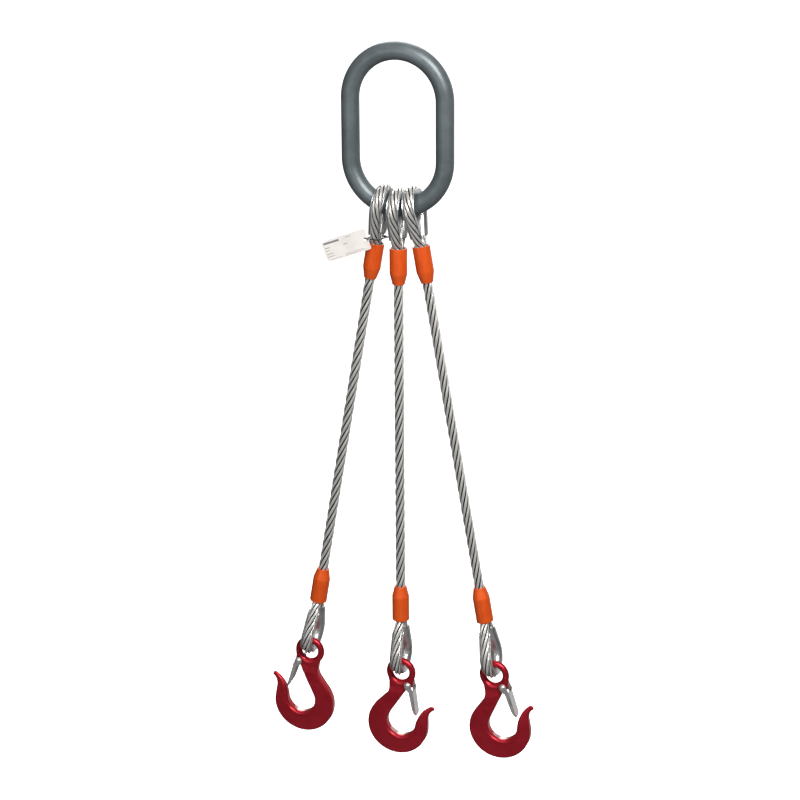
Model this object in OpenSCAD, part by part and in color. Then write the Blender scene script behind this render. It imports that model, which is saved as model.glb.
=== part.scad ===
// Three-leg wire rope sling: oblong master link, three wire rope legs with
// thimbled eyes and pressed sleeves, three latched eye hooks and an identity tag.
// Origin at the crane hook's seat inside the top of the master link.
// X along the link's width, Y away from the front, Z up. Millimetres.

/* [Master link] */
// Diameter of the link's round bar
link_bar_d = 18; // [10:0.5:30]
// Clear width between the link's sides
link_inner_w = 78; // [50:1:120]
// Clear height between the link's crowns
link_inner_h = 136; // [90:1:220]

/* [Legs] */
// Angle of each outer leg from the middle one, at rest
leg_spread = 9.8; // [0:0.1:20]
// Distance of each outer leg from the middle one at the link's bar
leg_pitch = 16.4; // [15.5:0.1:20]
// Distance from the upper eye's arc centre to the lower eye's arc centre
leg_eye_span = 471.4; // [300:0.2:1500]

/* [Rope and eyes] */
// Rope diameter
rope_d = 9.5; // [6:0.5:13]
// Radius of the rope's centre line round a thimble
eye_r = 18; // [16:0.5:24]
// Distance from an eye's arc centre to the mouth of its sleeve
eye_to_sleeve = 37.5; // [34:0.5:50]
// How far inside the sleeve an eye's two sides meet
eye_apex_depth = 13; // [8:0.5:20]
// Diameter of the two rope parts together at a sleeve's mouth
bundle_d = 14.4; // [10:0.2:16]
// Sheet thickness of a thimble
thimble_t = 1.0; // [0.6:0.1:2]
// Gap between a thimble's groove and the rope
thimble_gap = 0.1; // [0.05:0.05:0.3]

/* [Sleeves] */
// Outer diameter of a pressed sleeve
sleeve_d = 17.7; // [14:0.1:22]
// Length of a pressed sleeve
sleeve_len = 37; // [25:0.5:60]
// Length of the sleeve's taper
taper_len = 11; // [5:0.5:20]
// Outer diameter at the small end of the taper
taper_d = 12.8; // [11:0.1:16]

/* [Hooks] */
// Radius of the hook's bowl
bowl_r = 15.4; // [12:0.1:25]
// Thickness of the hook's body
hook_t = 12; // [8:0.5:18]
// Centre-line radius of the hook's eye
ring_r = 12.3; // [10:0.1:18]
// Bar radius of the hook's eye
ring_bar_r = 3.4; // [2.5:0.1:5]

/* [Latches] */
// Sheet thickness of a latch
latch_t = 1.2; // [0.8:0.1:2]
// Length of a latch from its pin to its tip
latch_len = 35.0; // [30:0.1:40]
// Radius of the latch pin's shank
pin_r = 2.0; // [1.5:0.1:3]

/* [Tag] */
// Length of the identity tag
tag_len = 48.5; // [25:0.5:60]
// Width of the identity tag
tag_w = 21.5; // [12:0.5:30]
// Thickness of the identity tag
tag_t = 1.0; // [0.5:0.1:2]
// Slope of the tag below level at rest
tag_slope = 21; // [0:1:60]

/* [Hidden] */
$fn = 96;
e = 0.01;
bar_r = link_bar_d / 2;
arc_r = link_inner_w / 2 + bar_r;
top_arc_z = -link_inner_w / 2;
bottom_arc_z = -(link_inner_h - link_inner_w / 2);

rope_r = rope_d / 2;
groove_r = rope_r + thimble_gap;
shell_r = groove_r + thimble_t;
seat_gap = 0.35;
// The rope's crown stands this far above the point where the leg crosses the bar.
crown_rise = bar_r + seat_gap + shell_r;
eye_z = crown_rise - eye_r;
low_eye_z = eye_z - leg_eye_span;
top_mouth_z = eye_z - eye_to_sleeve;
low_mouth_z = low_eye_z + eye_to_sleeve + 1.2;
apex_y = -(eye_to_sleeve + eye_apex_depth);
eye_half = asin(eye_r / -apex_y);
straight_len = eye_r / tan(eye_half);
thimble_end = 25;

splay_z = top_mouth_z - sleeve_len - 6;
flex_z = (splay_z + low_mouth_z + sleeve_len) / 2;
ball_gap = 0.12;
splay_cut = 37;
flex_cut = 46;

// Hook, in the leg's own plane.
ring_z = -495;
bowl_c = [0.3, -551.15];
body_c = [-3.4, -554.6];
body_r = 32.4;
tip_arc_c = [47.45, -559.5];
tip_arc_r = norm(tip_arc_c - bowl_c) - bowl_r;
flare_r = 12.8;
flare_c = [42.0, -545.4];
tip_c = [33.4, -533.3];
tip_r = 2.8;
neck_r = 13;
neck_x = -12.3;
shoulder_p = body_c + body_r * [-sin(45), sin(45)];
neck_c = [neck_x - neck_r, shoulder_p[1] - shoulder_p[0] + neck_x - neck_r + neck_r / sin(45)];
neck_p = neck_c + neck_r * [sin(45), -sin(45)];
shank_a = 56.6;
shank_p = bowl_c + bowl_r * [-sin(shank_a), cos(shank_a)];
shank_top = shank_p + 33.8 * [cos(shank_a), sin(shank_a)];
pin_c = [8.8, -507.3];
lug_r = 4.7;
lug_half = 4.0;
edge_w = 3.4;
edge_d = 2.6;

latch_a = 7.4;
latch_web_x = 4.4;
ear_in = hook_t / 2 + 0.35;
ear_out = ear_in + latch_t;
ear_r = 4.0;
pin_hole_r = pin_r + 0.07;

tie_r = 0.55;
tie_x = 6.9;
tie_y = 18.8;
tie_corner = 2.4;
tie_z = top_mouth_z + 4.7;
tie_tilt = 9;
tie_roll = 8;
tag_hole_r = 1.7;
tag_y = -16.4;

// ---- placing ----

// Height of the leg's own zero, where its thimble just clears the link's inner arc.
function leg_z(x, a) = bottom_arc_z - sqrt(pow(arc_r - bar_r - shell_r - seat_gap, 2)
  - pow(abs(x) - crown_rise * sin(a), 2)) - crown_rise * cos(a);

module left_leg() translate([-leg_pitch, 0, leg_z(leg_pitch, leg_spread)]) rotate([0, leg_spread, 0]) children();
module middle_leg() translate([0, 0, leg_z(0, 0)]) children();
module right_leg() translate([leg_pitch, 0, leg_z(leg_pitch, leg_spread)]) rotate([0, -leg_spread, 0]) children();
// The left hook opens outwards, away from the other two.
module left_hook_side() left_leg() rotate([0, 0, 180]) children();

// The eye's own plane: its first axis is the leg's depth, its second runs along the leg.
module eye_plane() rotate([90, 0, 90]) children();
module top_eye() translate([0, 0, eye_z]) children();
module low_eye() translate([0, 0, low_eye_z]) rotate([180, 0, 0]) children();
// The hook's plane: leg width and leg height, drawn from its mid-plane.
module hook_plane(t) translate([0, t / 2, 0]) rotate([90, 0, 0]) linear_extrude(t) children();

// ---- rope ----

module rope_rod(z0, z1) translate([0, 0, min(z0, z1)]) cylinder(r = rope_r, h = abs(z1 - z0));

// Half space on the far side of a plane through p, in the eye's plane, facing angle a.
module beyond(p, a) translate([p[0], p[1], 0]) rotate([0, 0, a]) translate([0, -20, -20]) cube([40, 40, 40]);

// A straight run of rope in the eye's plane from p to q, mitred to meet runs before and after it.
module run(p, q, before, after, r) {
  a = atan2(q[1] - p[1], q[0] - p[0]);
  l = norm(q - p);
  difference() {
    translate([p[0], p[1], 0]) rotate([0, 0, a]) rotate([0, 90, 0]) translate([0, 0, -before * 4]) cylinder(r = r, h = l + (before + after) * 4);
    children();
  }
}

// One eye of rope, arc centre at zero: its two sides close in past the thimble's
// points and go into the sleeve side by side. Each run is a hair thinner than the
// one before it, so no two faces share an edge.
module rope_loop() {
  side = bundle_d / 2 - rope_r;
  start = eye_r * [cos(eye_half), -sin(eye_half)];
  knee = start + (thimble_end + 1.2) * [-sin(eye_half), -cos(eye_half)];
  mouth = [side, -eye_to_sleeve + 2.1];
  slope_1 = -90 - eye_half;
  slope_2 = atan2(mouth[1] - knee[1], mouth[0] - knee[0]);
  eye_plane() {
    rotate([0, 0, -eye_half]) rotate_extrude(angle = 180 + 2 * eye_half) translate([eye_r, 0]) circle(r = rope_r - 0.02);
    for (s = [0, 1]) mirror([s, 0, 0]) {
      run(start, knee, 0, 1, rope_r) beyond(knee, (slope_1 + slope_2) / 2);
      run(knee, mouth, 1, 1, rope_r - 0.03) { beyond(knee, (slope_1 + slope_2) / 2 + 180); beyond(mouth, (slope_2 - 90) / 2); beyond([0, -30], 180); }
      run(mouth, mouth - [0, 9.6], 1, 0, rope_r - 0.06) { beyond(mouth, (slope_2 - 90) / 2 + 180); beyond([0, -30], 180); }
    }
  }
}

module ball(z, r) translate([0, 0, z]) sphere(r = r);

// Removes what a turning end sweeps: a wedge each side of the pivot's axis.
module wedge_x(z, a) translate([0, 0, z]) rotate([90, 0, 0]) linear_extrude(30, center = true)
  polygon([[-12, 14], [-12, -12 * tan(a)], [0, 0], [12, -12 * tan(a)], [12, 14]]);
module wedge_y(z, a) rotate([0, 0, 90]) wedge_x(z, a);

module rope_top() {
  top_eye() rope_loop();
  rope_rod(top_mouth_z - 5, splay_z);
  ball(splay_z, rope_r - e);
}

module rope_upper() {
  difference() {
    rope_rod(splay_z, flex_z);
    wedge_x(splay_z, splay_cut);
    ball(splay_z, rope_r + ball_gap);
  }
  ball(flex_z, rope_r - e);
}

module rope_lower() {
  difference() {
    rope_rod(flex_z, low_mouth_z + 4);
    wedge_y(flex_z, flex_cut);
    ball(flex_z, rope_r + ball_gap);
  }
  low_eye() rope_loop();
}

// ---- thimble ----

// Channel section with its groove facing away from the loop's centre.
module channel(thin = 0) {
  lip = 1.6;
  difference() {
    union() {
      circle(r = shell_r - thin);
      translate([0, -shell_r + thin]) square([lip, 2 * (shell_r - thin)]);
    }
    circle(r = groove_r + thin);
    translate([0, -groove_r - thin]) square([shell_r + 1, 2 * (groove_r + thin)]);
    translate([lip - thin, -shell_r - 1]) square(2 * shell_r + 2);
  }
}

module thimble() {
  eye_plane() {
    rotate([0, 0, -eye_half]) rotate_extrude(angle = 180 + 2 * eye_half) translate([eye_r, 0]) channel();
    for (s = [0, 1]) mirror([s, 0, 0])
      translate([eye_r * cos(eye_half), -eye_r * sin(eye_half), 0])
        rotate([90, 0, -eye_half]) linear_extrude(thimble_end) channel(0.03);
  }
}

// ---- sleeve ----

// Mouth at zero, taper downwards.
module sleeve() {
  r = sleeve_d / 2;
  tr = taper_d / 2;
  rotate_extrude() difference() {
    polygon([[0, 0], [r - 0.6, 0], [r, -0.6], [r, -(sleeve_len - taper_len)], [tr, -(sleeve_len - 0.9)],
      [tr - 0.3, -(sleeve_len - 0.3)], [tr - 0.9, -sleeve_len], [0, -sleeve_len]]);
    polygon([[-1, 1], [bundle_d / 2 + 0.05, 1], [bundle_d / 2 + 0.05, -7.55], [rope_r + 0.05, -11.55],
      [rope_r + 0.05, -sleeve_len - 1], [-1, -sleeve_len - 1]]);
  }
}

// ---- hook ----

module at(p, r) translate(p) circle(r = r);

function shank_at(z) = [shank_p[0] + (z - shank_p[1]) / tan(shank_a), z];

// Shoulder and shank, from the round body up to the neck.
module shank_outline() difference() {
  polygon([shoulder_p, neck_p, neck_p + [-1.4, 1.4], [neck_x - 2, neck_c[1]], [neck_x, neck_c[1]],
    [neck_x, -511.4], [-4, -511.4], shank_at(-515.5), shank_p, [-20, -549]]);
  at(neck_c, neck_r);
}

// Everything open between the shank and the tip.
module throat_outline() difference() {
  in = 0.04 * [sin(shank_a), -cos(shank_a)];
  polygon([bowl_c, shank_p + in, shank_at(-514) + in, [44, -514], [44, -553.6], [15, -554.8]]);
  at(tip_arc_c, tip_arc_r);
}

module tip_outline() difference() {
  intersection() {
    at(tip_arc_c, tip_arc_r);
    polygon([[14.2, -559], [28.6, -559], [28.9, -554], [29.1, -546.4], [33, -545], [36.9, -536], [30.2, -531.2], [20, -537], [12, -549]]);
  }
  at(flare_c, flare_r);
}

module neck_outline() difference() {
  union() {
    polygon([[neck_x, neck_c[1]], [neck_x, -500], [12.6, -500], [13.0, -503.6], [13.0, -507.8], [8.6, -511.2],
      shank_at(-514.6), shank_at(-515.6), [-8, -515.6]]);
    at(pin_c, lug_r);
  }
  at([0, ring_z], ring_r);
}

// Side view of a part whose half thickness changes with height.
module side_slab(points) translate([-60, 0, 0]) rotate([90, 0, 90]) linear_extrude(120)
  polygon(concat([for (p = points) [p[0], p[1]]], [for (i = [len(points) - 1:-1:0]) [-points[i][0], points[i][1]]]));

// Disc or hole in the hook's plane, bevelled on both faces; w is negative for a hole.
module bevelled_disc(c, r, w) translate([c[0], 0, c[1]]) rotate([90, 0, 0]) rotate_extrude()
  polygon([[0, -hook_t / 2], [r - w, -hook_t / 2], [r, edge_d - hook_t / 2], [r, hook_t / 2 - edge_d], [r - w, hook_t / 2], [0, hook_t / 2]]);

// Bevels both faces along a straight edge that leaves p at angle a, with the body on its left.
module straight_bevel(p, a, l) translate([p[0], 0, p[1]]) rotate([0, -a, 0])
  for (s = [0, 1]) mirror([0, s, 0]) rotate([90, 0, 90]) linear_extrude(l)
    polygon([[hook_t / 2 - edge_d + 0.1, 0], [hook_t / 2 - edge_d + 0.1, -1], [hook_t / 2 + 2, -1], [hook_t / 2 + 2, edge_w - 0.15], [hook_t / 2, edge_w - 0.15]]);

module hook_body() difference() {
  union() {
    bevelled_disc(body_c, body_r, edge_w);
    difference() {
      hook_plane(hook_t) shank_outline();
      straight_bevel(neck_p, -135, norm(neck_p - shoulder_p));
    }
  }
  bevelled_disc(bowl_c, bowl_r, -edge_w);
  hook_plane(hook_t + 2) throat_outline();
  straight_bevel(shank_p, shank_a, 30.5);
}

module hook_tip() {
  intersection() {
    hook_plane(hook_t) tip_outline();
    side_slab([[hook_t / 2 - 0.4, -561], [hook_t / 2 - 0.8, -554], [tip_r, -532], [tip_r, -529]]);
  }
  translate([tip_c[0], 0, tip_c[1]]) sphere(r = tip_r);
}

module hook_neck() intersection() {
  hook_plane(hook_t) neck_outline();
  side_slab([[hook_t / 2 - 0.5, -517], [hook_t / 2 - 0.5, -516], [lug_half, -513], [lug_half, -504], [ring_bar_r, -501.5], [ring_bar_r, -499]]);
}

module hook_ring() translate([0, 0, ring_z]) rotate([90, 0, 0]) rotate_extrude() translate([ring_r, 0]) circle(r = ring_bar_r);

module hook() difference() {
  union() {
    hook_body();
    hook_tip();
    hook_neck();
    hook_ring();
  }
  translate([pin_c[0], 0, pin_c[1]]) rotate([90, 0, 0]) cylinder(r = pin_r + 0.03, h = 40, center = true);
}

// ---- latch ----

// Pin at zero, arm downwards, before it is swung to rest.
module latch_place() translate([pin_c[0], 0, pin_c[1]]) rotate([0, -latch_a, 0]) children();

module latch() latch_place() difference() {
  union() {
    // Web, with its corners cut back towards the tip.
    translate([latch_web_x, 0, 0]) rotate([90, 0, 90]) translate([0, 0, -latch_t]) linear_extrude(latch_t)
      polygon([[-ear_out, -7.4], [ear_out, -7.4], [ear_out, -31], [4.5, -latch_len], [-4.5, -latch_len], [-ear_out, -31]]);
    for (s = [-1, 1]) translate([0, s * (ear_in + latch_t / 2), 0]) rotate([90, 0, 0]) linear_extrude(latch_t, center = true) {
      circle(r = ear_r);
      polygon([[-3.5, -1.6], [0, 1], [3.6, -1], [latch_web_x, -5], [latch_web_x, -31], [2.8, -31], [1.5, -26.7], [0.3, -7.4], [-2.5, -4.3]]);
    }
  }
  rotate([90, 0, 0]) cylinder(r = pin_hole_r, h = 40, center = true);
}

module latch_pin() translate([pin_c[0], 0, pin_c[1]]) rotate([90, 0, 0]) {
  translate([0, 0, -(ear_out + 0.3)]) cylinder(r = pin_r, h = 2 * ear_out + 0.6);
  // Domed head at the front, flat peened head at the back.
  intersection() {
    translate([0, 0, ear_out + 0.1 - 2.3]) sphere(r = 4.2);
    translate([0, 0, ear_out + 0.1]) cylinder(r = 5, h = 5);
  }
  translate([0, 0, -(ear_out + 0.1 + 1.2)]) cylinder(r1 = 2.6, r2 = 3.2, h = 1.2);
}

module latch_spring() {
  wire = 0.42;
  coil = 2.75;
  latch_place() rotate([90, 0, 0]) {
    for (i = [0, 1]) translate([0, 0, -(lug_half + 0.65 + 0.7 * i)]) rotate_extrude() translate([coil, 0]) circle(r = wire);
    translate([-coil, 0, -(lug_half + 1.45)]) rotate([90, 0, -14]) cylinder(r = wire, h = 6);
  }
}

// ---- tag ----

// Rounded loop of cord round both sides of the eye, higher at the front.
module tie() translate([0, 0, tie_z]) rotate([-tie_tilt, -tie_roll, 0]) {
  for (sx = [0, 1], sy = [0, 1]) mirror([sx, 0, 0]) mirror([0, sy, 0])
    translate([tie_x - tie_corner, tie_y - tie_corner, 0]) rotate_extrude(angle = 90) translate([tie_corner, 0]) circle(r = tie_r);
  for (s = [-1, 1]) {
    translate([-(tie_x - tie_corner), s * tie_y, 0]) rotate([0, 90, 0]) cylinder(r = tie_r, h = 2 * (tie_x - tie_corner));
    translate([s * tie_x, tie_y - tie_corner, 0]) rotate([90, 0, 0]) cylinder(r = tie_r, h = 2 * (tie_y - tie_corner));
  }
  // Locking head at the back.
  translate([tie_x - tie_corner - 2, tie_y - 1.4, -1.8]) cube([4, 2.8, 3.6]);
}

// Plate with its hole at the tie's near left corner, sloping down to the left.
module tag() translate([-tie_x * cos(tie_roll) + tag_y * tan(tie_tilt) * sin(tie_roll), tag_y, tie_z - tag_y * tan(tie_tilt) * cos(tie_roll) - tie_x * sin(tie_roll)]) rotate([0, leg_spread * -1 - tag_slope, 0])
  translate([0, tag_t / 2, -(tag_hole_r - tie_r - 0.1)]) rotate([90, 0, 0]) linear_extrude(tag_t) difference() {
    union() {
      translate([-tag_len + 3.4, -tag_w / 2 + 2]) square([tag_len, tag_w - 4]);
      translate([-tag_len + 5.4, -tag_w / 2]) square([tag_len - 4, tag_w]);
      for (x = [-tag_len + 5.4, 1.4], y = [-tag_w / 2 + 2, tag_w / 2 - 2]) translate([x, y]) circle(r = 2);
    }
    circle(r = tag_hole_r);
  }

// ---- sub-parts ----

module master_link() color([0.36, 0.40, 0.42]) {
  half = bottom_arc_z - top_arc_z;
  translate([0, 0, top_arc_z]) rotate([90, 0, 0]) rotate_extrude(angle = 180) translate([arc_r, 0]) circle(r = bar_r);
  translate([0, 0, bottom_arc_z]) rotate([90, 180, 0]) rotate_extrude(angle = 180) translate([arc_r, 0]) circle(r = bar_r);
  for (s = [-1, 1]) translate([s * arc_r, 0, bottom_arc_z]) cylinder(r = bar_r, h = -half);
}

rope_c = [0.62, 0.62, 0.61];
zinc_c = [0.72, 0.73, 0.74];
sleeve_c = [0.82, 0.33, 0.12];
hook_c = [0.50, 0.12, 0.16];

module left_rope_top() color(rope_c) left_leg() rope_top();
module left_rope_upper() color(rope_c) left_leg() rope_upper();
module left_rope_lower() color(rope_c) left_leg() rope_lower();
module left_top_thimble() color(zinc_c) left_leg() top_eye() thimble();
module left_bottom_thimble() color(zinc_c) left_leg() low_eye() thimble();
module left_top_sleeve() color(sleeve_c) left_leg() translate([0, 0, top_mouth_z]) sleeve();
module left_bottom_sleeve() color(sleeve_c) left_leg() translate([0, 0, low_mouth_z]) rotate([180, 0, 0]) sleeve();
module left_hook() color(hook_c) left_hook_side() hook();
module left_latch() color(zinc_c) left_hook_side() latch();
module left_latch_pin() color(zinc_c) left_hook_side() mirror([0, 1, 0]) latch_pin();
module left_latch_spring() color(zinc_c) left_hook_side() mirror([0, 1, 0]) latch_spring();

module middle_rope_top() color(rope_c) middle_leg() rope_top();
module middle_rope_upper() color(rope_c) middle_leg() rope_upper();
module middle_rope_lower() color(rope_c) middle_leg() rope_lower();
module middle_top_thimble() color(zinc_c) middle_leg() top_eye() thimble();
module middle_bottom_thimble() color(zinc_c) middle_leg() low_eye() thimble();
module middle_top_sleeve() color(sleeve_c) middle_leg() translate([0, 0, top_mouth_z]) sleeve();
module middle_bottom_sleeve() color(sleeve_c) middle_leg() translate([0, 0, low_mouth_z]) rotate([180, 0, 0]) sleeve();
module middle_hook() color(hook_c) middle_leg() hook();
module middle_latch() color(zinc_c) middle_leg() latch();
module middle_latch_pin() color(zinc_c) middle_leg() latch_pin();
module middle_latch_spring() color(zinc_c) middle_leg() latch_spring();

module right_rope_top() color(rope_c) right_leg() rope_top();
module right_rope_upper() color(rope_c) right_leg() rope_upper();
module right_rope_lower() color(rope_c) right_leg() rope_lower();
module right_top_thimble() color(zinc_c) right_leg() top_eye() thimble();
module right_bottom_thimble() color(zinc_c) right_leg() low_eye() thimble();
module right_top_sleeve() color(sleeve_c) right_leg() translate([0, 0, top_mouth_z]) sleeve();
module right_bottom_sleeve() color(sleeve_c) right_leg() translate([0, 0, low_mouth_z]) rotate([180, 0, 0]) sleeve();
module right_hook() color(hook_c) right_leg() hook();
module right_latch() color(zinc_c) right_leg() latch();
module right_latch_pin() color(zinc_c) right_leg() latch_pin();
module right_latch_spring() color(zinc_c) right_leg() latch_spring();

module id_tag() color([0.83, 0.83, 0.82]) left_leg() tag();
module tag_tie() color([0.06, 0.06, 0.06]) left_leg() tie();

master_link();
left_rope_top();
left_rope_upper();
left_rope_lower();
left_top_thimble();
left_bottom_thimble();
left_top_sleeve();
left_bottom_sleeve();
left_hook();
left_latch();
left_latch_pin();
left_latch_spring();
middle_rope_top();
middle_rope_upper();
middle_rope_lower();
middle_top_thimble();
middle_bottom_thimble();
middle_top_sleeve();
middle_bottom_sleeve();
middle_hook();
middle_latch();
middle_latch_pin();
middle_latch_spring();
right_rope_top();
right_rope_upper();
right_rope_lower();
right_top_thimble();
right_bottom_thimble();
right_top_sleeve();
right_bottom_sleeve();
right_hook();
right_latch();
right_latch_pin();
right_latch_spring();
id_tag();
tag_tie();
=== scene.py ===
"""Looks of a three-leg wire rope sling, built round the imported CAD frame.

Shapes are made in millimetres, in each leg's own frame (u across, y away from
the front, v up the leg, zero where the leg crosses the link), and become metres
in the row frame when a piece is made.
"""

import math

import bpy
import numpy as np
from mathutils import Matrix, Vector


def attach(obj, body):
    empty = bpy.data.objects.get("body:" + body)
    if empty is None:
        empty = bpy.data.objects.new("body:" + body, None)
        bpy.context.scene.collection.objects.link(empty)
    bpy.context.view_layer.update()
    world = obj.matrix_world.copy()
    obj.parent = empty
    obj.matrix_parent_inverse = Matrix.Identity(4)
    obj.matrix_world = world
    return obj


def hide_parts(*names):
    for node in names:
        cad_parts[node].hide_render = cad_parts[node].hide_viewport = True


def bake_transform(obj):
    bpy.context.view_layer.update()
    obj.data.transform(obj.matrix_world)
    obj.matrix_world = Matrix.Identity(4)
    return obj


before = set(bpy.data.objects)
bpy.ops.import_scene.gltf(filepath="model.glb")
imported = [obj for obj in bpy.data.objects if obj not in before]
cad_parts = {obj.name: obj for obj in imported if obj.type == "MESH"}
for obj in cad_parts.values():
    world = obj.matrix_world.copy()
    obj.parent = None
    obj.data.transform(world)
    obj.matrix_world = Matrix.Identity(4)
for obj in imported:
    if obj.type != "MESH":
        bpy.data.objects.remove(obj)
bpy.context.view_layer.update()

# ---- the CAD's own measures, millimetres and degrees ----
MM = 0.001
# where each leg crosses the link, x and z, and its lean
LEGS = {
    "left": (-16.4, -141.7279, 9.8),
    "middle": (0.0, -145.0, 0.0),
    "right": (16.4, -141.7279, -9.8),
}
LINK_BAR_R, LINK_ARC_R, LINK_TOP_Z, LINK_LOW_Z = 9.0, 48.0, -39.0, -97.0
# the rope's radius in an eye, and over its strands' crowns in the straight run
ROPE_R, RUN_R = 4.75, 5.0
# an eye's arc, and how far from its centre the two straight sides would meet
EYE_R, EYE_DEPTH = 18.0, 50.5
EYE_HALF = math.asin(EYE_R / EYE_DEPTH)
# thimble: its shell's radius round the rope, and the length of its straight sides
SHELL_R, THIMBLE_END = 5.85, 25.0
# from an eye's centre to the sleeve, and half the distance between the two ropes in it
EYE_TO_SLEEVE, PAIR_HALF = 37.5, 2.45
# heights in a leg: both eyes' centres and both sleeves' mouths
EYE_V, LOW_EYE_V, TOP_MOUTH, LOW_MOUTH = -2.8, -474.2, -40.3, -435.5
SLEEVE_R, SLEEVE_LEN, TAPER_R, TAPER_LEN = 8.85, 37.0, 6.4, 11.0
# the hook's ring, and the latch's pin, lean and ears
RING_V, RING_R, RING_BAR = -495.0, 12.3, 3.4
PIN, LATCH_A, LUG_R = (8.8, -507.3), 7.4, 4.7
EAR_IN, EAR_OUT, EAR_R, LATCH_WEB = 6.35, 7.55, 3.9, 4.4


# ---- placing ----


def leg_frame(leg, turned=False):
    """Matrix from a leg's millimetres to the row frame in metres.

    turned faces a hook the other way.
    """
    x, z, lean = LEGS[leg]
    m = Matrix.Translation((x * MM, 0, z * MM)) @ Matrix.Rotation(math.radians(lean), 4, "Y")
    if turned:
        m = m @ Matrix.Rotation(math.pi, 4, "Z")
    return m @ Matrix.Scale(MM, 4)


def piece(name, verts, faces, place, materials, sharp=None, material_of=None, values=None):
    """A mesh object named name, from points in millimetres placed by the matrix place.

    Edges bent by more than sharp degrees stay sharp. material_of gives a material's
    number for each face, and values are named numbers or vectors for each point.
    """
    mesh = bpy.data.meshes.new(name)
    mesh.from_pydata(np.asarray(verts, float).tolist(), [], [list(map(int, f)) for f in faces])
    mesh.transform(place)
    if place.determinant() < 0:
        mesh.flip_normals()
    mesh.validate(clean_customdata=False)
    for m in materials:
        mesh.materials.append(m)
    mesh.shade_smooth()
    if material_of is not None:
        mesh.polygons.foreach_set("material_index", np.asarray(material_of, np.int32))
    for key, data in (values or {}).items():
        data = np.asarray(data, np.float32)
        kind = "FLOAT" if data.ndim == 1 else "FLOAT_VECTOR"
        layer = mesh.attributes.new(key, kind, "POINT")
        layer.data.foreach_set("value" if data.ndim == 1 else "vector", data.ravel())
    if sharp is not None:
        mesh.set_sharp_from_angle(angle=math.radians(sharp))
    mesh.update()
    obj = bpy.data.objects.new(name, mesh)
    bpy.context.scene.collection.objects.link(obj)
    return obj


def finish_piece(obj, body, node):
    """Ride obj on a body in place of a CAD node, which it hides."""
    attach(obj, body)
    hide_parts(node)


def stack(parts):
    """Several (verts, faces, values) made one."""
    verts, faces, values, at = [], [], [], 0
    for v, f, w in parts:
        verts.append(np.asarray(v, float))
        faces += [[i + at for i in face] for face in f]
        values.append(np.asarray(w, float) if w is not None else np.zeros(len(v)))
        at += len(v)
    return np.concatenate(verts), faces, np.concatenate(values)


# ---- swept and turned surfaces ----


def unit(a):
    """Vectors along the last axis, each of length one."""
    return a / np.linalg.norm(a, axis=-1, keepdims=True)


def tube_faces(rings, sides, closed=False):
    """Quads between rings of sides points, with end caps unless the rings close.

    They face outward for rings that turn right-handed along the path.
    """
    i = np.arange(rings if closed else rings - 1)[:, None]
    j = np.arange(sides)[None, :]
    a, b = i * sides + j, i * sides + (j + 1) % sides
    k = (i + 1) % rings
    c, d = k * sides + (j + 1) % sides, k * sides + j
    faces = np.stack([a, b, c, d], -1).reshape(-1, 4).tolist()
    if not closed:
        faces.append(list(range(sides))[::-1])
        faces.append([(rings - 1) * sides + s for s in range(sides)])
    return faces


def swept(path, normals, side, profile, closed=False):
    """Profile points (a along the normal, b along side) carried along path.

    profile is one ring, or one for each point of the path.
    """
    profile = np.asarray(profile, float)
    profile = np.broadcast_to(profile, (len(path),) + profile.shape[-2:])
    side = np.broadcast_to(np.asarray(side, float), np.shape(path))
    verts = path[:, None] + profile[..., :1] * normals[:, None] + profile[..., 1:] * side[:, None]
    return verts.reshape(-1, 3), tube_faces(len(path), profile.shape[1], closed)


def circle(r, sides):
    """Points round a circle, anticlockwise."""
    t = np.arange(sides) * 2 * math.pi / sides
    return np.stack([r * np.cos(t), r * np.sin(t)], -1)


def turned(profile, sides=64, closed=False):
    """Lathe of (r, z) points about z.

    It faces outward when the profile runs from the low end up the outside.
    """
    profile = np.asarray(profile, float)
    t = np.arange(sides) * 2 * math.pi / sides
    ring = np.stack([np.cos(t), np.sin(t), np.zeros(sides)], -1)
    verts = profile[:, None, :1] * ring[None] + np.array([0, 0, 1.0]) * profile[:, None, 1:]
    return verts.reshape(-1, 3), tube_faces(len(profile), sides, closed)


def rounded(points, radius, steps=6):
    """Open polyline with its corners rounded; radius is one number or one for each corner."""
    points = np.asarray(points, float)
    radii = np.broadcast_to(radius, len(points))
    out = [points[0]]
    for p, q, s, r in zip(points[:-2], points[1:-1], points[2:], radii[1:-1]):
        a, b = unit(p - q), unit(s - q)
        half = math.acos(np.clip(a @ b, -1, 1)) / 2
        room = 0.48 * min(np.linalg.norm(p - q), np.linalg.norm(s - q))
        reach = min(r / math.tan(half), room)
        for t in np.linspace(0, 1, steps + 1):
            start, end = q + a * reach, q + b * reach
            out.append((1 - t) ** 2 * start + 2 * t * (1 - t) * q + t**2 * end)
    out.append(points[-1])
    return np.array(out)


def lengths(path):
    """Length along a path at each of its points."""
    gaps = np.linalg.norm(np.diff(path, axis=0), axis=1)
    return np.concatenate([[0], np.cumsum(gaps)])


def resampled(path, step):
    """The same path with points about step apart."""
    s = lengths(path)
    n = max(2, int(round(s[-1] / step)) + 1)
    want = np.linspace(0, s[-1], n)
    return np.stack([np.interp(want, s, path[:, k]) for k in range(path.shape[1])], -1)


# ---- rope ----

# strands, the outer wires of each, the points round a wire, and the length of one turn
STRANDS, WIRES, PER_WIRE, LAY = 6, 7, 5, 70.0
STRAND_R = 1.62
CORE_R = ROPE_R - 2 * STRAND_R + 0.35
# painted shade: a strand darkens below this share of its radius, over this much, and more in its grooves
SHADE_FROM, SHADE_OVER, GROOVE_SHADE = 0.68, 0.8, 0.55


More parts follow.
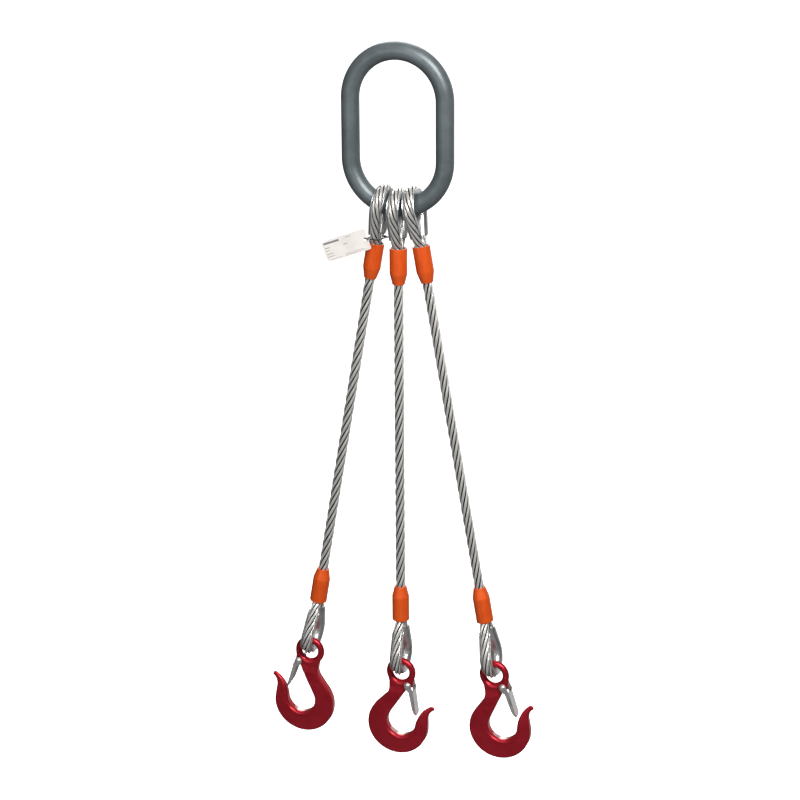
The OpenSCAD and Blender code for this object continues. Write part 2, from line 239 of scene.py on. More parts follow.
def wire_outline():
    """Strand section, a ring of round wires.

    Gives each point's angle, its radius, and how deep in a groove it is.
    """
    n = WIRES * PER_WIRE
    t = np.arange(n) * 2 * math.pi / n
    half = math.pi / WIRES
    wire = STRAND_R * math.sin(half) / (1 + math.sin(half))
    off = (t + half) % (2 * half) - half
    centre = STRAND_R - wire
    r = centre * np.cos(off) + np.sqrt(np.maximum(wire**2 - (centre * np.sin(off)) ** 2, 0))
    return t, r, (STRAND_R - r) / wire


def rope(path, side, phase, hand, radius, done=0.0):
    """Six strands and a core laid along a flat path.

    hand is 1 for right-hand lay, and done is the length laid before this piece.
    The values are the painted shade at each point, 0 to 1: dark on a strand's flanks and in its grooves,
    and fully dark on the core.
    """
    s = done + lengths(path)
    along = unit(np.gradient(path, s, axis=0))
    side = np.broadcast_to(np.asarray(side, float), path.shape)
    normal = unit(np.cross(side, along))
    t, r, groove = wire_outline()
    parts = []
    for k in range(STRANDS):
        turn = phase + k * 2 * math.pi / STRANDS + hand * 2 * math.pi * s / LAY
        out = np.cos(turn)[:, None] * normal + np.sin(turn)[:, None] * side
        centre = path + (radius - STRAND_R) * out
        ahead = unit(np.gradient(centre, s, axis=0))
        out = unit(out - (out * ahead).sum(-1, keepdims=True) * ahead)
        across = np.cross(ahead, out)
        section = np.cos(t)[:, None] * out[:, None] + np.sin(t)[:, None] * across[:, None]
        verts = centre[:, None] + r[:, None] * section
        # painted shade, darker away from a strand's crown and in the grooves between its wires
        painted_shade = np.clip((SHADE_FROM - np.cos(t)) / SHADE_OVER, 0, 1) + GROOVE_SHADE * groove
        painted_shade = np.tile(np.clip(painted_shade, 0, 1), (len(path), 1))
        parts.append((verts.reshape(-1, 3), tube_faces(len(path), len(t)), painted_shade.ravel()))
    core, core_faces = swept(path, normal, side, circle(CORE_R, 16))
    # the core is painted fully shaded
    parts.append((core, core_faces, np.ones(len(core))))
    return stack(parts)


def half_side(e):
    """Distance of an eye's rope from the eye's axis, at height e from the arc's centre.

    It is straight down to join, then closes in smoothly to the sleeve at end.
    """
    join, end = -28.5, -39.5
    span, slope = join - end, math.tan(EYE_HALF)
    straight, at_join = (e + EYE_DEPTH) * slope, (join + EYE_DEPTH) * slope
    t = np.clip((join - e) / span, 0, 1)
    closing = (2 * t**3 - 3 * t**2 + 1) * at_join - (t**3 - 2 * t**2 + t) * slope * span
    closing += (-2 * t**3 + 3 * t**2) * PAIR_HALF
    return np.where(e > join, straight, closing)


def eye_arc(steps):
    """The eye's arc in (y, e), from the near side over the top to the far side."""
    a = math.pi + EYE_HALF - np.linspace(0, math.pi + 2 * EYE_HALF, steps)
    return EYE_R * np.stack([np.cos(a), np.sin(a)], -1)


def eye_path(step=1.1):
    """The rope's line round one eye in (y, e): up the near side, round the arc, down the far side."""
    into_sleeve = 9.0
    e = np.arange(-EYE_TO_SLEEVE - into_sleeve, -EYE_R * math.sin(EYE_HALF), 0.4)
    low = np.stack([-half_side(e), e], -1)
    return resampled(np.concatenate([low, eye_arc(160), low[::-1] * [-1, 1]]), step)


def in_leg(flat, v0, flip):
    """(y, e) points of an eye as (u, y, v) of the leg; flip is -1 for the lower eye."""
    return np.stack([np.zeros(len(flat)), flat[:, 0], v0 + flip * flat[:, 1]], -1)


# ---- thimble ----


def sheet_edge(at, ahead, out, thick):
    """Three points round the edge of a sheet, from the side out to the other."""
    turns = np.radians([35, 90, 145])
    return [at + (math.sin(q) * ahead + math.cos(q) * out) * thick / 2 for q in turns]


def thimble():
    """Channel round the eye in (y, e), its groove outwards and its lips rolled.

    The sheet's width is rounded off at both of the thimble's points.
    """
    start = EYE_R * np.array([-math.cos(EYE_HALF), -math.sin(EYE_HALF)])
    down = np.array([math.sin(EYE_HALF), -math.cos(EYE_HALF)])
    run = np.array([start + down * t for t in np.linspace(THIMBLE_END, 0.5, 36)])
    flat = np.concatenate([run, eye_arc(120), run[::-1] * [-1, 1]])
    s = lengths(flat)
    along = unit(np.gradient(flat, s, axis=0))
    # the channel's middle radius, its sheet, the flat of each lip and the lip's roll
    mid, thick, lip = (ROPE_R + SHELL_R) / 2, SHELL_R - ROPE_R - 0.06, 1.1
    roll_wide, roll_out = 1.6, 0.3
    quarter = mid * math.pi / 2
    full, corner, across = quarter + lip, 3.4, 22
    from_end = np.clip(np.minimum(s, s[-1] - s) / corner, 0, 1)
    reach = full - corner + corner * np.sqrt(np.clip(1 - (1 - from_end) ** 2, 0, 1))
    rings = []
    for w in reach:
        d = np.linspace(-w, w, across)
        bend = np.clip(d, -quarter, quarter)
        angle = bend / mid
        base = np.stack([-mid * np.cos(angle) + np.abs(d - bend), mid * np.sin(angle)], -1)
        out = np.stack([-np.cos(angle), np.sin(angle)], -1)
        roll = roll_out * np.clip((np.abs(d) - (full - roll_wide)) / roll_wide, 0, 1) ** 2
        base = base + out * roll[:, None]
        shell, groove = base + out * thick / 2, base - out * thick / 2
        last = sheet_edge(base[-1], unit(base[-1] - base[-2]), out[-1], thick)
        first = sheet_edge(base[0], unit(base[0] - base[1]), -out[0], thick)
        rings.append(np.concatenate([shell, last, groove[::-1], first]))
    none = np.zeros(len(flat))
    normals = np.stack([none, -along[:, 1], along[:, 0]], -1)
    path = np.stack([none, flat[:, 0], flat[:, 1]], -1)
    return swept(path, normals, (1, 0, 0), np.array(rings))


# ---- sleeve ----


def sleeve():
    """Pressed sleeve, mouth at zero, taper downwards, with faint flats from the dies.

    Material 1 is the bare metal of its mouth and inside.
    """
    r, tip, low, start = SLEEVE_R, TAPER_R, -SLEEVE_LEN, TAPER_LEN - SLEEVE_LEN
    rim, mouth, throat = 7.75, 7.2, 5.0
    outside = rounded(
        [(throat, low), (tip - 0.1, low), (tip, low + 1.2), (r, start), (r, -9.0), (r, 0), (rim, 0)],
        [0, 0.9, 1.6, 1.3, 0, 0.5, 0])
    inside = [(7.3, -0.25), (mouth, -0.8), (mouth, -7.5), (throat, -11.5)]
    inside += [(4.98, -20), (4.98, low + 0.3)]
    profile = np.concatenate([outside, inside])
    sides, flats, pressed = 96, 16, 0.9
    verts, faces = turned(profile, sides, closed=True)
    turn = np.arctan2(verts[:, 1], verts[:, 0])
    across = (turn + math.pi / flats) % (2 * math.pi / flats) - math.pi / flats
    flat = math.cos(math.pi / flats) / np.cos(across)
    outer = np.repeat(np.arange(len(profile)) < len(outside) - 1, sides)
    verts[:, :2] *= np.where(outer, 1 - pressed + pressed * flat, 1)[:, None]
    bare_from, bare_to = len(outside) - 2, len(profile) - 1
    bare = [int(bare_from <= i // sides < bare_to) for i in range(len(faces))]
    return verts, faces, bare


# ---- solids from a distance field ----


def segment_distance(points, poly):
    """Signed distance of points to a closed polygon, negative inside."""
    points = np.asarray(points, float)
    best = np.full(len(points), 1e9)
    inside = np.zeros(len(points), bool)
    for a, b in zip(poly, np.roll(poly, -1, axis=0)):
        ab = b - a
        ap = points - a
        t = np.clip((ap @ ab) / max(ab @ ab, 1e-12), 0, 1)
        best = np.minimum(best, ((ap - t[:, None] * ab) ** 2).sum(-1))
        over = (a[1] > points[:, 1]) != (b[1] > points[:, 1])
        with np.errstate(divide="ignore", invalid="ignore"):
            x = ab[0] * (points[:, 1] - a[1]) / ab[1] + a[0]
        inside ^= over & (points[:, 0] < x)
    return np.sqrt(best) * np.where(inside, -1, 1)


class Outline:
    """A polygon's distance field on a fine grid, softened so that its corners are rounded."""

    def __init__(self, poly, step, soften, margin=4.0):
        poly = np.asarray(poly, float)
        self.low, self.step = poly.min(0) - margin, step
        n = np.ceil((poly.max(0) + margin - self.low) / step).astype(int) + 1
        gx, gz = np.meshgrid(np.arange(n[0]), np.arange(n[1]), indexing="ij")
        grid = self.low + np.stack([gx.ravel(), gz.ravel()], -1) * step
        d = segment_distance(grid, poly).reshape(n)
        reach = max(1, int(round(3 * soften / step)))
        k = np.exp(-0.5 * (np.arange(-reach, reach + 1) * step / soften) ** 2)
        k /= k.sum()
        for axis in (0, 1):
            pad = [(reach, reach) if a == axis else (0, 0) for a in (0, 1)]
            wide = np.pad(d, pad, mode="edge")
            d = sum(w * np.take(wide, np.arange(i, i + n[axis]), axis=axis) for i, w in enumerate(k))
        self.d = d

    def __call__(self, x, z):
        """Distance at any points, between the grid's by straight lines."""
        p = (np.stack([x, z], -1) - self.low) / self.step
        p = np.clip(p, 0, np.array(self.d.shape) - 1.001)
        i = p.astype(int)
        f = p - i
        ix, iz, fx, fz = i[..., 0], i[..., 1], f[..., 0], f[..., 1]
        d = self.d
        low = d[ix, iz] * (1 - fx) + d[ix + 1, iz] * fx
        high = d[ix, iz + 1] * (1 - fx) + d[ix + 1, iz + 1] * fx
        return low * (1 - fz) + high * fz


def soft_min(a, b, k):
    """The lower of two fields, with their join rounded over about k."""
    h = np.clip(0.5 + 0.5 * (b - a) / k, 0, 1)
    return b * (1 - h) + a * h - k * h * (1 - h)


def soft_max(a, b, k):
    """The higher of two fields, with their join rounded over about k."""
    return -soft_min(-a, -b, k)


def net(field, low, high, step):
    """Quads over field's zero surface, one vertex a cell, then moved onto the surface."""
    low, high = np.array(low, float), np.array(high, float)
    n = np.ceil((high - low) / step).astype(int) + 1
    axes = [low[k] + np.arange(n[k]) * step for k in range(3)]
    g = np.stack(np.meshgrid(*axes, indexing="ij"), -1)
    f = field(g[..., 0], g[..., 1], g[..., 2])
    neg = f < 0
    total = np.zeros(tuple(n - 1) + (3,))
    count = np.zeros(tuple(n - 1))
    corner = [(i, j, k) for i in (0, 1) for j in (0, 1) for k in (0, 1)]

    def view(grid, c):
        return grid[tuple(slice(c[k], grid.shape[k] - 1 + c[k]) for k in range(3))]

    for a in corner:
        for b in corner:
            if sum(b) - sum(a) == 1 and all(y >= x for x, y in zip(a, b)):
                fa, fb = view(f, a), view(f, b)
                cross = view(neg, a) != view(neg, b)
                t = np.where(cross, fa / np.where(cross, fa - fb, 1), 0)
                point = np.array(a, float) + t[..., None] * np.subtract(b, a)
                total += np.where(cross[..., None], point, 0)
                count += cross
    used = count > 0
    index = np.full(used.shape, -1)
    index[used] = np.arange(used.sum())
    cell = np.argwhere(used)
    verts = low + (cell + total[used] / count[used][:, None]) * step
    quads = []
    for axis in range(3):
        u, v = (axis + 1) % 3, (axis + 2) % 3
        here = np.take(neg, np.arange(n[axis] - 1), axis=axis)
        there = np.take(neg, np.arange(1, n[axis]), axis=axis)
        for at in np.argwhere(here != there):
            if at[u] == 0 or at[v] == 0 or at[u] >= n[u] - 1 or at[v] >= n[v] - 1:
                continue
            ring = []
            for du, dv in ((-1, -1), (0, -1), (0, 0), (-1, 0)):
                c = at.copy()
                c[u] += du
                c[v] += dv
                ring.append(index[tuple(c)])
            quads.append(ring if here[tuple(at)] else ring[::-1])
    nudge = 0.05
    for _ in range(5):
        slopes = [field(*(verts + e).T) - field(*(verts - e).T) for e in np.eye(3) * nudge]
        grad = np.stack(slopes, -1) / (2 * nudge)
        size = np.maximum((grad**2).sum(-1), 0.2)
        verts = verts - np.clip(field(*verts.T) / size, -step / 2, step / 2)[:, None] * grad
    return verts, quads


# ---- hook ----

# centres and radii of its outline's arcs, in (u, v): back, bowl, tip, nose and flare
BODY_C, BODY_R = np.array([-3.4, -554.6]), 32.4
BOWL_C, BOWL_R = np.array([0.3, -551.15]), 15.4
TIP_C, TIP_R = np.array([33.4, -533.3]), 2.8
NOSE_C = np.array([47.45, -559.5])
NOSE_R = float(np.linalg.norm(NOSE_C - BOWL_C)) - BOWL_R
FLARE_C, FLARE_R = np.array([42.0, -545.4]), 12.8
# the neck's hollow behind, its left edge and foot, and the shank's slope and length
NECK_R, NECK_X, NECK_TOP, SHANK_A, SHANK_LEN = 13.0, -12.3, -498.0, 56.6, 34.2
# half thickness of the neck, from the body up to the ring
NECK_HEIGHTS = [-531, -524, -518, -513.5, -510.5, -504, -498]
NECK_HALVES = [6.0, 5.8, 5.2, 4.5, 4.05, 3.95, 3.4]


def toward(angle):
    """Unit vector at an angle in degrees."""
    return np.array([math.cos(math.radians(angle)), math.sin(math.radians(angle))])


def arc(centre, r, a, b, steps):
    """Points on a circle from angle a to angle b, degrees."""
    return [np.asarray(centre) + r * toward(t) for t in np.linspace(a, b, steps)]


def hook_outline():
    """The hook's side view below its ring, anticlockwise from the ring's left."""
    shoulder = BODY_C + BODY_R * toward(135)
    neck_x = NECK_X - NECK_R
    neck_c = np.array([neck_x, shoulder[1] - shoulder[0] + neck_x + NECK_R * math.sqrt(2)])
    shank = BOWL_C + BOWL_R * toward(90 + SHANK_A)
    top = shank + SHANK_LEN * toward(SHANK_A)
    return np.array(
        [np.array([NECK_X, NECK_TOP])]
        + arc(neck_c, NECK_R, 0, -45, 14)
        + arc(BODY_C, BODY_R, 135, 358.5, 90)
        + arc(FLARE_C, FLARE_R, 184, 133, 14)
        + arc(TIP_C, TIP_R, -35, 124, 16)
        + arc(NOSE_C, NOSE_R, 119, 169.7, 30)
        + arc(BOWL_C, BOWL_R, 349.7, 90 + SHANK_A, 60)[1:]
        + [top, np.array([7.6, -512.4])]
        + arc(PIN, LUG_R, -72, 20, 12)
        + [np.array([12.8, NECK_TOP])])


def hook():
    """Forged eye hook in its own (u, y, v), with a round ring and rounded edges.

    Its flanks fall away from the bowl to the back, and its tip thins to the nose.
    """
    outline = Outline(hook_outline(), 0.4, 0.55)
    body_half, tip_thinning, tip_from, tip_rise = NECK_HALVES[0], 3.15, -563, 30.5
    fall, edge, bowl_edge, pin_hole = 0.085, 1.6, 1.2, 2.05

    def field(x, y, z):
        flat = soft_max(outline(x, z), RING_R - 0.6 - np.hypot(x, z - RING_V), 0.8)
        neck = np.interp(z, NECK_HEIGHTS, NECK_HALVES)
        tip = body_half - tip_thinning * np.clip((z - tip_from) / tip_rise, 0, 1) ** 1.15
        share = np.clip((x - 8) / 8, 0, 1) * np.clip((-521 - z) / 4, 0, 1)
        half = neck * (1 - share) + np.minimum(tip, neck) * share
        from_bowl = np.hypot(x - BOWL_C[0], z - BOWL_C[1]) - BOWL_R
        half = half - fall * np.clip(from_bowl - 5, 0, 20) * np.clip((-518 - z) / 10, 0, 1)
        near_bowl = np.clip((8.0 - from_bowl) / 5, 0, 1)
        fillet = np.minimum(edge + bowl_edge * near_bowl, half - 0.15)
        a, b = flat + fillet, np.abs(y) - half + fillet
        body = np.minimum(np.maximum(a, b), 0) + np.hypot(np.maximum(a, 0), np.maximum(b, 0)) - fillet
        ring = np.hypot(np.hypot(x, z - RING_V) - RING_R, y) - RING_BAR
        bore = pin_hole - np.hypot(x - PIN[0], z - PIN[1])
        return np.maximum(soft_min(body, ring, 2.4), bore)

    return net(field, (-38.2, -7.2, -589), (38.6, 7.2, -478), 0.75)


# ---- latch ----


def latch():
    """Folded sheet gate about its pin at zero, arm downwards: a web, two side flanges and their ears."""
    flange_view = [(-3.6, -1.6), (-2.5, -4.4), (0.3, -7.4), (1.5, -26.7), (2.7, -31.4), (2.9, -37)]
    flange_view += [(4.7, -37), (4.7, -5.2), (3.6, -1.0), (2.5, 1.5), (-2.5, 1.5)]
    side_view = Outline(flange_view, 0.2, 0.25, 3.0)
    half_face = [(7.6, -6.8), (7.6, -30.6), (7.2, -31.6), (5.0, -34.3), (4.0, -35.0)]
    face_view = Outline(half_face + [(-x, z) for x, z in half_face[::-1]], 0.2, 0.3, 3.0)
    # the sheet, the radius of its folds, where the web starts, and the pin's hole
    t, fold, notch, pin_hole = EAR_OUT - EAR_IN, 1.3, -7.2, 2.07
    web_x, wall_y = LATCH_WEB - t / 2, (EAR_IN + EAR_OUT) / 2
    fold_x, fold_y = web_x - fold, wall_y - fold

    def field(x, y, z):
        wall, folded = np.abs(y), z < notch
        outline = np.minimum(side_view(x, z), np.hypot(x, z) - EAR_R)
        outline = soft_max(outline, np.where(folded, face_view(y, z), -1.0), 0.3)
        flange = np.hypot(np.maximum(x - fold_x, 0), wall - wall_y)
        web = np.hypot(x - web_x, np.maximum(wall - fold_y, 0))
        corner = np.abs(np.hypot(x - fold_x, wall - fold_y) - fold)
        channel = np.where((x > fold_x) & (wall > fold_y), corner, np.minimum(flange, web))
        sheet = np.where(folded, channel, np.abs(wall - wall_y)) - t / 2
        return soft_max(soft_max(sheet, outline, 0.35), pin_hole - np.hypot(x, z), 0.2)

    return net(field, (-4.8, -8.4, -36.3), (5.3, 8.4, 4.8), 0.32)


def latch_pin():
    """Pin along z: domed head at +z, peened head at -z, with soft edges."""
    dome_r, dome_foot, dome_rise, shank_r = 3.5, 7.65, 1.9, 1.97
    dome = dome_r * np.sin(np.radians(np.linspace(88, 4, 14)))
    peened = [(0.3, -8.9), (2.7, -8.9), (3.2, -8.2), (3.1, -7.66), (2.0, -7.64)]
    profile = [(0.05, -8.9)] + rounded(peened, [0, 0.5, 0.4, 0.2, 0], 4).tolist()
    profile += [(shank_r, -7.5), (shank_r, 7.5), (2.0, 7.62), (3.1, 7.62), (3.42, 7.75)]
    profile += [(r, dome_foot + dome_rise * math.sqrt(1 - (r / dome_r) ** 2)) for r in dome]
    return turned(profile + [(0.03, dome_foot + dome_rise)], 48)


def latch_spring():
    """Torsion spring about z, its long arm down the gate and its tail on the hook's neck."""
    wire, coil, turns, start = 0.40, 2.78, 2.45, math.radians(-104)
    low, rise = -5.9, 1.3
    t = np.linspace(start, start + 2 * math.pi * turns, 120)
    z = low + rise * (t - t[0]) / (t[-1] - t[0])
    body = np.stack([coil * np.cos(t), coil * np.sin(t), z], -1)
    down, ahead = np.array([0.2, -1.0, 0]) / 1.02, unit(body[-1] - body[-2])
    arm = [body[0] + down * d for d in np.linspace(4.6, 0.4, 8)]
    tail = [body[-1] + ahead * d for d in np.linspace(0.4, 2.6, 5)]
    path = np.concatenate([arm, body, tail])
    along = unit(np.gradient(path, axis=0))
    normal = unit(np.cross(along, [0, 0, 1.0]))
    return swept(path, normal, np.cross(along, normal), circle(wire, 12))


# ---- materials ----


class Nodes:
    """Short hand for a material's node tree."""

    def __init__(self, name):
        self.material = bpy.data.materials.new(name)
        self.material.use_nodes = True
        self.tree = self.material.node_tree
        self.shader = self.tree.nodes["Principled BSDF"]
        self.coord = self.tree.nodes.new("ShaderNodeTexCoord")

    def put(self, socket, value):
        """Give a socket a value, or link it to the socket that value is."""
        if isinstance(value, bpy.types.NodeSocket):
            self.tree.links.new(value, socket)
        else:
            socket.default_value = value

    def add(self, kind, inputs=None, **settings):
        """A new node with its settings, and its inputs by name or number."""
        node = self.tree.nodes.new("ShaderNode" + kind)
        for key, value in settings.items():
            setattr(node, key, value)
        for key, value in (inputs or {}).items():
            self.put(node.inputs[key], value)
        return node

    def set(self, **values):
        """The shader's own inputs, with _ for the spaces in their names."""
        for key, value in values.items():
            self.put(self.shader.inputs[key.replace("_", " ")], value)

    def noise(self, scale, detail=3.0, rough=0.55, vector=None):
        vector = vector or self.coord.outputs["Object"]
        inputs = {"Vector": vector, "Scale": scale, "Detail": detail, "Roughness": rough}
        return self.add("TexNoise", inputs).outputs["Fac"]

    def spread(self, value, low, high, to_low=0.0, to_high=1.0):
        """value carried from low..high to to_low..to_high, and held there."""
        inputs = {"Value": value, "From Min": low, "From Max": high}
        inputs |= {"To Min": to_low, "To Max": to_high}
        return self.add("MapRange", inputs, clamp=True).outputs["Result"]

    def mix(self, factor, a, b):
        """Colour a, turning to b as factor goes from 0 to 1."""
        return self.add("Mix", {"Factor": factor, 6: a, 7: b}, data_type="RGBA").outputs[2]

    def math(self, operation, a, b=0.0):
        return self.add("Math", {0: a, 1: b}, operation=operation).outputs[0]

    def attribute(self, name, output="Fac"):
        return self.add("Attribute", attribute_name=name).outputs[output]

    def bump(self, height, strength, distance, after=None):
        inputs = {"Height": height, "Strength": strength, "Distance": distance}
        if after:
            inputs["Normal"] = after
        return self.add("Bump", inputs).outputs["Normal"]


def srgb(*rgb):
    """Linear colour with alpha, from 0 to 255 values as a picture shows them."""
    linear = [((c / 255 + 0.055) / 1.055) ** 2.4 if c > 10 else c / 3294.6 for c in rgb]
    return (*linear, 1.0)


def link_paint():
    n = Nodes("link_paint")
    cloud = n.noise(60, 4)
    grain = n.noise(900, 5, 0.7)
    base = n.mix(n.spread(cloud, 0.35, 0.65), srgb(92, 101, 105), srgb(104, 113, 117))
    base = n.mix(n.spread(grain, 0.56, 0.72, 0, 0.25), base, srgb(76, 84, 88))
    peel = n.noise(420, 2)
    n.set(Base_Color=base, Metallic=0.45, Roughness=n.spread(cloud, 0.3, 0.7, 0.38, 0.46))
    n.set(Normal=n.bump(n.noise(1500, 2), 0.05, 0.0002, n.bump(peel, 0.1, 0.0004)))
    n.set(Specular_IOR_Level=0.35)
    return n.material


def rope_steel():
    n = Nodes("rope_steel")
    painted_shade = n.attribute("painted_shade")
    cloud, grain = n.noise(140, 3), n.noise(2600, 3, 0.6)
    base = n.mix(n.spread(cloud, 0.35, 0.65), srgb(212, 212, 210), srgb(228, 228, 226))
    base = n.mix(n.spread(grain, 0.5, 0.75, 0, 0.3), base, srgb(176, 176, 175))
    # painted shade: flanks, grooves and core turn nearly black, and rougher
    base = n.mix(n.spread(painted_shade, 0.1, 0.75), base, srgb(26, 26, 27))
    n.set(Base_Color=base, Metallic=0.6, Roughness=n.spread(painted_shade, 0.0, 0.8, 0.26, 0.62))
    n.set(Normal=n.bump(grain, 0.15, 0.0001))
    return n.material


def thimble_zinc():
    n = Nodes("thimble_zinc")
    cloud = n.noise(90, 3)
    cells = n.add("TexVoronoi", {"Vector": n.coord.outputs["Object"], "Scale": 380.0})
    spangle = cells.outputs["Distance"]
    base = n.mix(n.spread(cloud, 0.35, 0.65), srgb(200, 202, 203), srgb(226, 227, 227))
    base = n.mix(n.spread(spangle, 0.1, 0.7, 0, 0.3), base, srgb(176, 179, 182))
    n.set(Base_Color=base, Metallic=0.92, Roughness=n.spread(cloud, 0.3, 0.7, 0.26, 0.36))
    n.set(Normal=n.bump(n.noise(260, 2), 0.04, 0.0002))
    return n.material


def sleeve_paint():
    n = Nodes("sleeve_paint")
    cloud, speck = n.noise(70, 3), n.noise(1400, 4, 0.65)
    base = n.mix(n.spread(cloud, 0.35, 0.65), srgb(206, 76, 16), srgb(214, 84, 22))
    base = n.mix(n.spread(speck, 0.6, 0.74, 0, 0.35), base, srgb(172, 52, 10))
    # faint lines where the press jaws closed
    wave = {"Vector": n.coord.outputs["Object"], "Scale": 60.0, "Distortion": 4.0, "Detail": 2.0}
    lines = n.add("TexWave", wave, bands_direction="X").outputs["Fac"]
    base = n.mix(n.spread(lines, 0.8, 1.0, 0, 0.12), base, srgb(232, 110, 60))
    n.set(Base_Color=base, Metallic=0.2, Roughness=n.spread(cloud, 0.3, 0.7, 0.34, 0.44))
    n.set(Normal=n.bump(n.noise(500, 3), 0.05, 0.0003), Specular_IOR_Level=0.4)
    return n.material


def bare_aluminium():
    n = Nodes("bare_aluminium")
    cloud = n.noise(500, 4)
    base = n.mix(n.spread(cloud, 0.3, 0.7), srgb(226, 205, 200), srgb(240, 228, 224))
    n.set(Base_Color=base, Metallic=0.75, Roughness=n.spread(cloud, 0.3, 0.7, 0.35, 0.5))
    n.set(Normal=n.bump(n.noise(1800, 2), 0.1, 0.0001))
    return n.material


def hook_paint():
    n = Nodes("hook_paint")
    cloud, speck = n.noise(55, 4), n.noise(1200, 4, 0.7)
    base = n.mix(n.spread(cloud, 0.32, 0.68), srgb(160, 26, 40), srgb(174, 34, 48))
    base = n.mix(n.spread(speck, 0.6, 0.74, 0, 0.15), base, srgb(130, 18, 30))
    # the bowl's floor is worn to bare metal in patches, and painted pale pink-white there as a highlight
    ragged = n.math("MULTIPLY", n.math("SUBTRACT", n.noise(260, 5, 0.7), 0.5), 0.9)
    edge = n.spread(n.math("ADD", n.attribute("wear_and_highlight"), ragged), 0.45, 0.62)
    # wear and painted highlight: pale pink-white and more metallic
    base = n.mix(edge, base, srgb(226, 184, 176))
    rough = n.spread(n.noise(240, 3), 0.3, 0.7, 0.26, 0.36)
    n.set(Base_Color=base, Metallic=n.spread(edge, 0, 1, 0.68, 0.95), Roughness=rough)
    forged = n.bump(n.noise(170, 3), 0.1, 0.0006)
    n.set(Normal=n.bump(n.noise(1100, 3), 0.05, 0.0002, forged), Specular_IOR_Level=0.45)
    return n.material


def plated(name, a, b, rough):
    """Plated steel between two colours, with fine drawn lines down it."""
    n = Nodes(name)
    cloud = n.noise(160, 3)
    stretch = {"Vector": n.coord.outputs["Object"], "Scale": (1.0, 1.0, 0.12)}
    lines = n.noise(2200, 2, 0.5, n.add("Mapping", stretch).outputs["Vector"])
    base = n.mix(n.spread(cloud, 0.35, 0.65), a, b)
    base = n.mix(n.spread(lines, 0.5, 0.8, 0, 0.25), base, srgb(140, 141, 142))
    n.set(Base_Color=base, Metallic=0.9, Roughness=n.spread(cloud, 0.3, 0.7, rough, rough + 0.12))
    n.set(Normal=n.bump(lines, 0.08, 0.0001))
    return n.material


# printed bars on the tag, millimetres from its hole: left, right, low and high edge
HEADING = (-43.1, -26.0, 6.6, 8.6)
RULES = [
    (-19.0, -13.0, 7.8, 8.4), (-22.8, -18.9, 1.6, 2.3), (-43.2, -38.0, 2.7, 3.3),
    (-43.2, -38.6, 0.0, 0.5), (-43.0, -36.2, -3.4, -2.9), (-43.0, -35.8, -6.2, -5.7),
    (-43.0, -27.5, -9.1, -8.8), (-24.0, -1.0, -9.1, -8.8), (-24.0, -4.0, -7.8, -7.5),
]


def tag_plate():
    """Light plate with plain printed rules: a heading bar, short bars and a few thin lines."""
    n = Nodes("tag_plate")
    at = n.add("SeparateXYZ", {"Vector": n.attribute("plate", "Vector")})

    def between(axis, low, high):
        value = at.outputs[axis]
        return n.math("MULTIPLY", n.math("GREATER_THAN", value, low), n.math("LESS_THAN", value, high))

    def bar(x0, x1, y0, y1):
        return n.math("MULTIPLY", between("X", x0, x1), between("Y", y0, y1))

    marks = bar(*HEADING)
    for rule in RULES:
        marks = n.math("MAXIMUM", marks, bar(*rule))
    cloud, grain = n.noise(90, 3), n.noise(1700, 4, 0.7)
    base = n.mix(n.spread(cloud, 0.3, 0.7), srgb(214, 211, 208), srgb(226, 223, 221))
    base = n.mix(n.spread(grain, 0.55, 0.75, 0, 0.35), base, srgb(190, 186, 183))
    base = n.mix(n.math("MULTIPLY", marks, 0.8), base, srgb(72, 73, 76))
    n.set(Base_Color=base, Metallic=0.0, Roughness=n.spread(cloud, 0.3, 0.7, 0.42, 0.56))
    n.set(Normal=n.bump(grain, 0.06, 0.0001))
    return n.material


def tie_nylon():
    n = Nodes("tie_nylon")
    grain = n.noise(900, 3)
    n.set(Base_Color=n.mix(n.spread(grain, 0.3, 0.7), srgb(12, 12, 13), srgb(24, 24, 26)))
    n.set(Roughness=n.spread(grain, 0.3, 0.7, 0.35, 0.5), Normal=n.bump(grain, 0.1, 0.0001))
    return n.material


LINK, ROPE, ZINC = link_paint(), rope_steel(), thimble_zinc()
SLEEVE, BARE, HOOK = sleeve_paint(), bare_aluminium(), hook_paint()
GATE = plated("latch_steel", srgb(196, 196, 195), srgb(214, 214, 212), 0.3)
PIN_STEEL = plated("pin_steel", srgb(206, 205, 203), srgb(220, 219, 217), 0.24)
SPRING = plated("spring_steel", srgb(168, 168, 168), srgb(188, 188, 187), 0.28)
TAG, TIE = tag_plate(), tie_nylon()


# ---- the pieces ----


def closed_tube(path, flat_normal, r, sides):
    """A round bar along a closed path that lies flat to flat_normal."""
    along = unit(np.roll(path, -1, 0) - np.roll(path, 1, 0))
    normal = unit(flat_normal(along))
    return swept(path, normal, np.cross(along, normal), circle(r, sides), closed=True)


def build_link():
    """Oblong of round bar: an arc at each end and a straight run down each side."""
    turn = np.radians(np.linspace(0, 180, 97))
    x, rise, flat = LINK_ARC_R * np.cos(turn), LINK_ARC_R * np.sin(turn), 0 * turn
    top, low = np.stack([x, flat, LINK_TOP_Z + rise], -1), np.stack([-x, flat, LINK_LOW_Z - rise], -1)
    down = np.linspace(LINK_TOP_Z, LINK_LOW_Z, 22)[1:-1]
    left = np.array([(-LINK_ARC_R, 0, z) for z in down])
    right = np.array([(LINK_ARC_R, 0, z) for z in down[::-1]])
    path = np.concatenate([top, left, low, right])
    verts, faces = closed_tube(path, lambda along: np.cross([0, 1.0, 0], along), LINK_BAR_R, 56)
    obj = piece("master_link_body", verts, faces, Matrix.Scale(MM, 4), [LINK])
    finish_piece(obj, "link", "master_link")


def rope_piece(name, place, path, phase, hand, radius, done=0.0):
    """A rope along path, as a piece whose strand ends stay sharp."""
    verts, faces, painted_shade = rope(path, (1, 0, 0), phase, hand, radius, done)
    return piece(name, verts, faces, place, [ROPE], sharp=70, values={"painted_shade": painted_shade})


